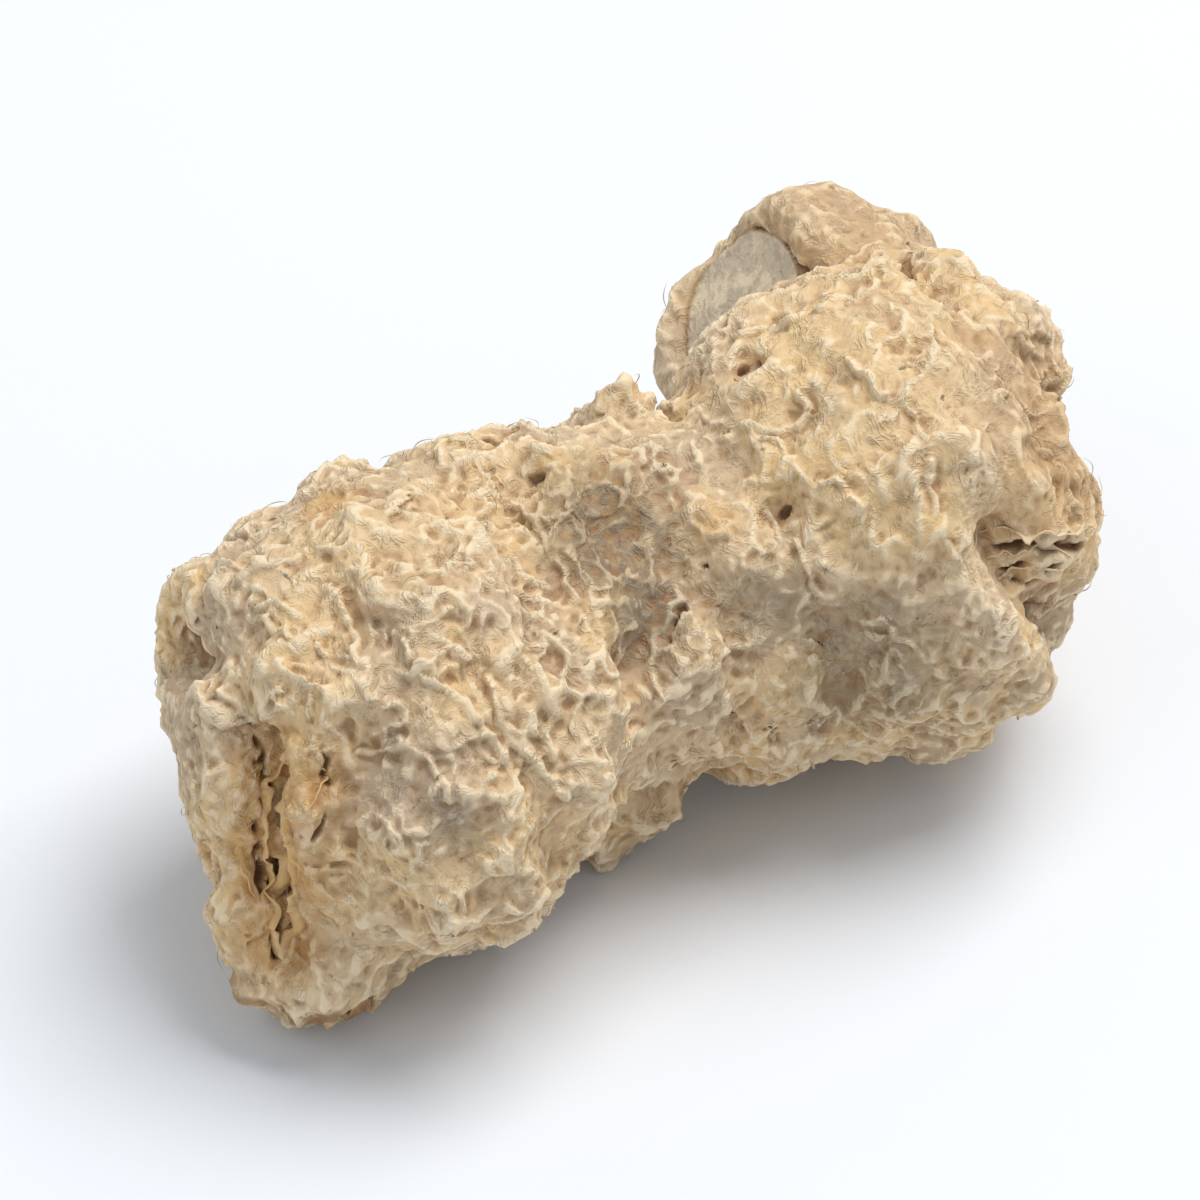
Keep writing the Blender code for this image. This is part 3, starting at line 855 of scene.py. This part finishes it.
# %% The relief applied to the fine mesh
def with_nodes(obj, name, tree, values):
    """Adds a Geometry Nodes modifier and sets its inputs by their names."""
    modifier = obj.modifiers.new(name, "NODES")
    modifier.node_group = tree
    for item in tree.interface.items_tree:
        if item.in_out == "INPUT" and item.name in values:
            modifier[item.identifier] = values[item.name]
    return modified(obj, obj.data.name)


def part_of_the_root(piece):
    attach(piece, "root")
    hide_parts("ginger_root")
    print(piece.name, "has", triangles(piece), "triangles")


skin = with_nodes(skin, "relief", relief_tree(), {**RELIEF_SIZES, "Material": dry_skin})
co = places(skin.data)
co[:, 2] = np.maximum(co[:, 2], 0.0)
skin.data.vertices.foreach_set("co", co.ravel())
print("the skin has", triangles(skin), "triangles")

# %% [markdown]
# ## Torn layers
#
# Where the dry end has split, its skin has come apart into flaky orange layers, and thin
# dry edges stand out beside the waist's flap, the bottom of the end and the papery crease.
# Each is a narrow sheet that grows out of the skin along a line. Its foot is sunk a little
# into the skin, and its outer edge is torn and curls over. A nearest-point search on the
# skin finds where the foot goes.

# %% The torn sheets
SHEET_STEP = 0.13
SHEET_ROWS = 7
SHEET_THICKNESS = 0.06
FOOT_DEPTH = 0.30
FOOT_SMOOTHING = 6

# The torn edge: its mean and least height as shares of the width, and two waves, each with
# its share, its waves a millimetre and its row of the noise. The sheet sways and ripples.
TEAR_MEAN = 0.72
TEAR_LEAST = 0.15
TEAR_WAVES = ((0.55, 1.1, 0), (0.35, 3.1, 5))
SWAY = 0.7
SWAY_WAVES = 0.8
RIPPLE = 0.06
RIPPLE_WAVES = 2.6

# Name, width, lean (towards the sheet's side), curl and points, in millimetres and radians.
SHEETS = (
    ("split_layer_1", 0.85, 0.4, 0.9, (
        (-17.6, -3.4, 13.2), (-17.9, -3.6, 11.6), (-18.3, -3.6, 9.9), (-18.6, -4.0, 8.2),
        (-18.9, -4.6, 6.4))),
    ("split_layer_2", 0.70, -0.5, 0.8, (
        (-17.3, -4.3, 13.6), (-17.5, -4.9, 12.0), (-18.2, -5.1, 10.4), (-18.5, -5.2, 8.6))),
    ("split_layer_3", 0.60, 0.1, -0.9, (
        (-17.8, -2.6, 11.9), (-18.3, -3.0, 10.0), (-18.8, -3.4, 8.2), (-19.2, -4.4, 6.0),
        (-19.5, -5.2, 4.6))),
    ("split_layer_4", 0.60, 0.6, 0.8, ((-18.6, -5.4, 8.2), (-18.8, -5.4, 6.6), (-19.1, -5.6, 4.8))),
    ("split_layer_5", 0.55, -0.2, 0.7, (
        (-17.5, -3.9, 12.6), (-17.9, -4.3, 11.2), (-18.4, -4.4, 9.4), (-18.7, -4.6, 7.6))),
    ("split_layer_6", 0.50, 0.8, 0.5, ((-18.9, -2.6, 8.6), (-19.2, -3.2, 7.2), (-19.6, -4.0, 5.6))),
    ("dry_edge_1", 0.50, 0.7, 0.6, LOW_EDGE),
    ("waist_flap", 1.2, 1.0, 0.5, (
        (-3.4, -6.6, 6.4), (-1.0, -6.8, 6.2), (1.5, -7.6, 6.0), (4.0, -9.0, 5.8), (6.6, -9.8, 5.6))),
    ("papery_layer_1", 0.45, -0.9, 0.6, (
        (11.2, -9.0, 13.1), (12.6, -9.9, 13.1), (14.0, -10.5, 12.7), (15.4, -10.2, 12.1))),
    ("papery_layer_2", 0.38, -0.7, 0.8, ((11.4, -9.3, 12.3), (12.8, -10.1, 12.3), (14.2, -10.8, 12.0))),
    ("papery_layer_3", 0.35, -0.8, 0.7, ((11.4, -9.6, 11.5), (12.8, -10.4, 11.5), (13.8, -10.9, 11.2))),
)


def resampled(chain, step):
    """Points at even steps along a chain."""
    chain = np.array(chain)
    lengths = np.concatenate(([0], np.cumsum(np.linalg.norm(np.diff(chain, axis=0), axis=1))))
    steps = np.linspace(0, lengths[-1], max(4, int(lengths[-1] / step)))
    return np.stack([np.interp(steps, lengths, chain[:, axis]) for axis in range(3)], axis=1), steps


surface_of_skin = BVHTree.FromObject(skin, bpy.context.evaluated_depsgraph_get())


def mesh_object(name, vertices, faces):
    mesh = bpy.data.meshes.new(name)
    mesh.from_pydata(vertices, [], faces)
    return added(name, mesh)


def grid_faces(rows, columns):
    """The faces of a sheet whose points are numbered row by row."""
    corners = [i * columns + j for i in range(rows - 1) for j in range(columns - 1)]
    return [(k, k + 1, k + 1 + columns, k + columns) for k in corners]


def thickened(sheet, thickness, offset):
    solidify = sheet.modifiers.new("thickness", "SOLIDIFY")
    solidify.thickness = thickness * MM
    solidify.offset = offset
    return modified(sheet, sheet.name)


def torn_sheet(name, width, lean, curl, chain, order):
    line, steps = resampled(chain, SHEET_STEP)
    found = [surface_of_skin.find_nearest(Vector(point) * MM) for point in wandering(line)]
    feet = np.array([(place / MM)[:] for place, _, _, _ in found])
    outward = np.array([normal[:] for _, normal, _, _ in found])
    for _ in range(FOOT_SMOOTHING):
        outward[1:-1] = (outward[:-2] + 2 * outward[1:-1] + outward[2:]) / 4
        feet[1:-1] = (feet[:-2] + 2 * feet[1:-1] + feet[2:]) / 4
    outward /= np.linalg.norm(outward, axis=1)[:, None]
    along = np.gradient(feet, axis=0)
    sideways = np.cross(along, outward)
    sideways /= np.linalg.norm(sideways, axis=1)[:, None]
    share = steps / steps[-1]
    vertices = []
    for i, (foot, out, side) in enumerate(zip(feet, outward, sideways)):
        ends = math.sin(math.pi * min(max(share[i], 0.02), 0.98)) ** 0.5
        tear = sum((height * noise_value(Vector((steps[i] * waves, order, noise_row)))
                    for height, waves, noise_row in TEAR_WAVES), TEAR_MEAN)
        sway = SWAY * noise_value(Vector((steps[i] * SWAY_WAVES, order, 9)))
        reach = width * ends * max(tear, TEAR_LEAST)
        place = foot - out * FOOT_DEPTH
        for row in range(SHEET_ROWS):
            rank = row / (SHEET_ROWS - 1)
            angle = lean + sway + curl * rank
            vertices.append(place)
            stride = (FOOT_DEPTH + reach) / (SHEET_ROWS - 1)
            ripple = RIPPLE * noise_value(Vector((steps[i] * RIPPLE_WAVES, rank * 2.0, order * 3.0)))
            place = place + stride * (out * math.cos(angle) + side * math.sin(angle)) + side * ripple
    vertices = [tuple(vertex * MM) for vertex in vertices]
    sheet = mesh_object(name, vertices, grid_faces(len(feet), SHEET_ROWS))
    store(sheet.data, "rank", np.tile(np.linspace(0, 1, SHEET_ROWS), len(feet)))
    return thickened(sheet, SHEET_THICKNESS, 0)

# %% The layers' material: orange flesh side, cream edges
LAYER_COLOURS = {
    "split": ((0.46, 0.23, 0.07), (0.74, 0.47, 0.19)),
    "dry": ((0.30, 0.14, 0.05), (0.58, 0.38, 0.18)),
    "waist": ((0.50, 0.36, 0.20), (0.72, 0.55, 0.34)),
    "papery": ((0.42, 0.31, 0.19), (0.78, 0.62, 0.42))}
LAYER_BUMP = 0.08


def layer_material(name, dark, pale):
    material, tree, surface = new_material(name)
    place = object_place(tree)
    net = fine_net_at(tree, place, 1.8)
    uneven = maths(tree, "MULTIPLY_ADD", noise(tree, place, 1.3, 3.0, 0.6), 1.6, -0.8)
    out = maths(tree, "ADD", attribute(tree, "rank"), uneven)
    colour = blended(tree, rise(tree, out, 0.15, 0.75), dark, pale)
    colour = blended(tree, times(tree, net.outputs["Lines"], 0.4), colour, PALE_CREST)
    tree.links.new(colour, surface.inputs["Base Color"])
    surface.inputs["Roughness"].default_value = 0.85
    surface.inputs["Specular IOR Level"].default_value = SHEEN
    bumped(tree, surface, net.outputs["Height"], LAYER_BUMP)
    return material


layer_materials = {
    name: layer_material(name + " layer", *colours) for name, colours in LAYER_COLOURS.items()}
for order, (name, width, lean, curl, chain) in enumerate(SHEETS):
    sheet = torn_sheet(name, width, lean, curl, chain, order)
    sheet.data.materials.append(layer_materials[name.split("_")[0]])
    sheet.data.shade_smooth()
    part_of_the_root(sheet)

# %% [markdown]
# ## Scraps and fibres
#
# Dry skin sheds: small curled scraps of paper stand on it, and loose fibres lie along it.
# One scrap and one fibre are made, of a few dozen faces each, and a Geometry Nodes tree
# scatters them over the skin with a fixed seed, turned to the skin's normal and with their
# own size and spin. None stand on the clean cut.

# %% One scrap and one fibre, in millimetres and radians
SCRAP_LENGTH = 0.5
SCRAP_WIDTH = 0.8
SCRAP_CURL = 1.5
SCRAP_THICKNESS = 0.05
SCRAP_ROWS, SCRAP_COLUMNS = 5, 4
FIBRE_LENGTH = 1.6
FIBRE_RISE = 0.30
FIBRE_SWAY = 0.22
FIBRE_FOOT = 0.06
FIBRE_RADIUS = 0.028
FIBRE_RINGS, FIBRE_SIDES = 8, 3


def curled_scrap():
    """A small sheet, curled along its length, with a ragged outline."""
    vertices = []
    for i in range(SCRAP_ROWS):
        for j in range(SCRAP_COLUMNS):
            u, v = i / (SCRAP_ROWS - 1), j / (SCRAP_COLUMNS - 1) - 0.5
            ragged = 0.75 + 0.5 * noise_value(Vector((u * 3.0, v * 3.0, 2.0)))
            angle = SCRAP_CURL * u
            vertices.append((
                SCRAP_LENGTH * math.sin(angle) * MM,
                v * ragged * (1 - 0.5 * u) * SCRAP_WIDTH * MM,
                SCRAP_LENGTH * (1 - math.cos(angle)) * MM))
    scrap = mesh_object("scrap", vertices, grid_faces(SCRAP_ROWS, SCRAP_COLUMNS))
    return thickened(scrap, SCRAP_THICKNESS, -1)


def bent_fibre():
    """A thin three-sided thread that leaves the skin and bends back to it."""
    vertices, faces = [], []
    for i in range(FIBRE_RINGS):
        share = i / (FIBRE_RINGS - 1)
        middle = Vector((FIBRE_LENGTH * (share - 0.5), FIBRE_SWAY * math.sin(5 * share),
                         FIBRE_RISE * math.sin(math.pi * share) - FIBRE_FOOT))
        for j in range(FIBRE_SIDES):
            angle = 2 * math.pi * j / FIBRE_SIDES
            thin = FIBRE_RADIUS * (1.15 - abs(2 * share - 1))
            vertices.append((middle + Vector((0, math.cos(angle), math.sin(angle))) * thin) * MM)
    for i in range(FIBRE_RINGS - 1):
        this, following = i * FIBRE_SIDES, (i + 1) * FIBRE_SIDES
        for j in range(FIBRE_SIDES):
            k = (j + 1) % FIBRE_SIDES
            faces.append((this + j, this + k, following + k, following + j))
    return mesh_object("fibre", vertices, faces)

# %% The scattering tree
CLEAR_HEIGHT = 0.6


def scatter_tree(name):
    tree, given = new_group(name, "GeometryNodeTree", {
        "Skin": "Geometry", "Thing": "Object", "Count a square metre": "Float", "Seed": "Int",
        "Least size": "Float", "Most size": "Float", "Material": "Material"}, {"Scattered": "Geometry"})
    position = node(tree, "GeometryNodeInputPosition").outputs[0]
    height = node(tree, "ShaderNodeSeparateXYZ", {0: position}).outputs[2]
    plain = times(tree, maths(tree, "LESS_THAN", mask(tree, "cut"), 0.01),
                  maths(tree, "GREATER_THAN", height, CLEAR_HEIGHT * MM),
                  maths(tree, "SUBTRACT", 1.0, mask(tree, "calm")))
    points = node(tree, "GeometryNodeDistributePointsOnFaces", {
        "Mesh": given["Skin"], "Density": times(tree, given["Count a square metre"], plain),
        "Seed": given["Seed"]})
    spin = node(tree, "FunctionNodeRandomValue", {
        "Seed": given["Seed"], "Min": (-0.5, -0.5, -math.pi), "Max": (0.5, 0.5, math.pi)},
        data_type="FLOAT_VECTOR")
    turned = node(tree, "FunctionNodeRotateRotation", {
        "Rotation": points.outputs["Rotation"], 1: spin.outputs["Value"]}, rotation_space="LOCAL")
    size = node(tree, "FunctionNodeRandomValue", {
        "Seed": given["Seed"], 2: given["Least size"], 3: given["Most size"]}, data_type="FLOAT")
    thing = node(tree, "GeometryNodeObjectInfo", {"Object": given["Thing"], "As Instance": True})
    placed = node(tree, "GeometryNodeInstanceOnPoints", {
        "Points": points.outputs["Points"], "Instance": thing.outputs["Geometry"],
        "Rotation": turned.outputs[0], "Scale": size.outputs[1]})
    real = node(tree, "GeometryNodeRealizeInstances", {"Geometry": placed.outputs[0]})
    painted = node(tree, "GeometryNodeSetMaterial", {
        "Geometry": real.outputs[0], "Material": given["Material"]})
    node(tree, "NodeGroupOutput", {"Scattered": painted.outputs[0]})
    return tree


def scattered(name, thing, count, seed, least, most):
    """A piece made of copies of thing, count to a square millimetre of skin."""
    carrier = added(name, skin.data.copy())
    carrier.data.name = name
    piece = with_nodes(carrier, "scatter", scatter_tree(name + " scatter"), {
        "Thing": thing, "Count a square metre": count / MM**2, "Seed": seed,
        "Least size": least, "Most size": most, "Material": layer_materials["papery"]})
    bpy.data.objects.remove(thing)
    part_of_the_root(piece)


scattered("scraps", curled_scrap(), count=0.05, seed=3, least=0.18, most=0.42)
scattered("fibres", bent_fibre(), count=0.16, seed=8, least=0.35, most=0.9)

# %% [markdown]
# ## The skin in slices
#
# The whole skin is one fine mesh, too heavy for one piece. It is cut into slices along
# the root, which share their border points and keep the normals of the whole, so that no
# seam shows.

# %% The slices
SLICES = 4


def sliced(whole, count):
    mesh = whole.data
    co, no = places(mesh), normals(mesh)
    corners = np.empty(len(mesh.loops), dtype=np.int32)
    mesh.loops.foreach_get("vertex_index", corners)
    faces = corners.reshape(-1, 4)
    across = co[faces, 0].mean(axis=1)
    limits = np.quantile(across, np.linspace(0, 1, count + 1))
    slice_of = np.clip(np.searchsorted(limits, across, side="right") - 1, 0, count - 1)
    kept = {}
    for layer in mesh.attributes:
        if layer.data_type == "FLOAT" and layer.domain == "POINT" and not layer.is_internal:
            kept[layer.name] = np.empty(len(co), dtype=np.float32)
            layer.data.foreach_get("value", kept[layer.name])
    for rank in range(count):
        used, renumbered = np.unique(faces[slice_of == rank], return_inverse=True)
        piece = mesh_object(
            f"ginger_skin_{rank + 1}", co[used].tolist(), renumbered.reshape(-1, 4).tolist())
        for name, values in kept.items():
            store(piece.data, name, values[used])
        piece.data.materials.append(dry_skin)
        piece.data.shade_smooth()
        piece.data.normals_split_custom_set_from_vertices(no[used].tolist())
        part_of_the_root(piece)
    bpy.data.objects.remove(whole)


sliced(skin, SLICES)

# %% [markdown]
# ## The sizes, and the end
#
# Both boxes, of the solid and of the finished root, are printed. The finish may not
# make the root larger than the solid by more than a little.

# %% The sizes
sizes = {"cad": [list(corner) for corner in cad_box], "visual": [list(corner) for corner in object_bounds()]}
for name, box in sizes.items():
    print("the", name, "box in mm:", [[round(c / MM, 2) for c in corner] for corner in box])
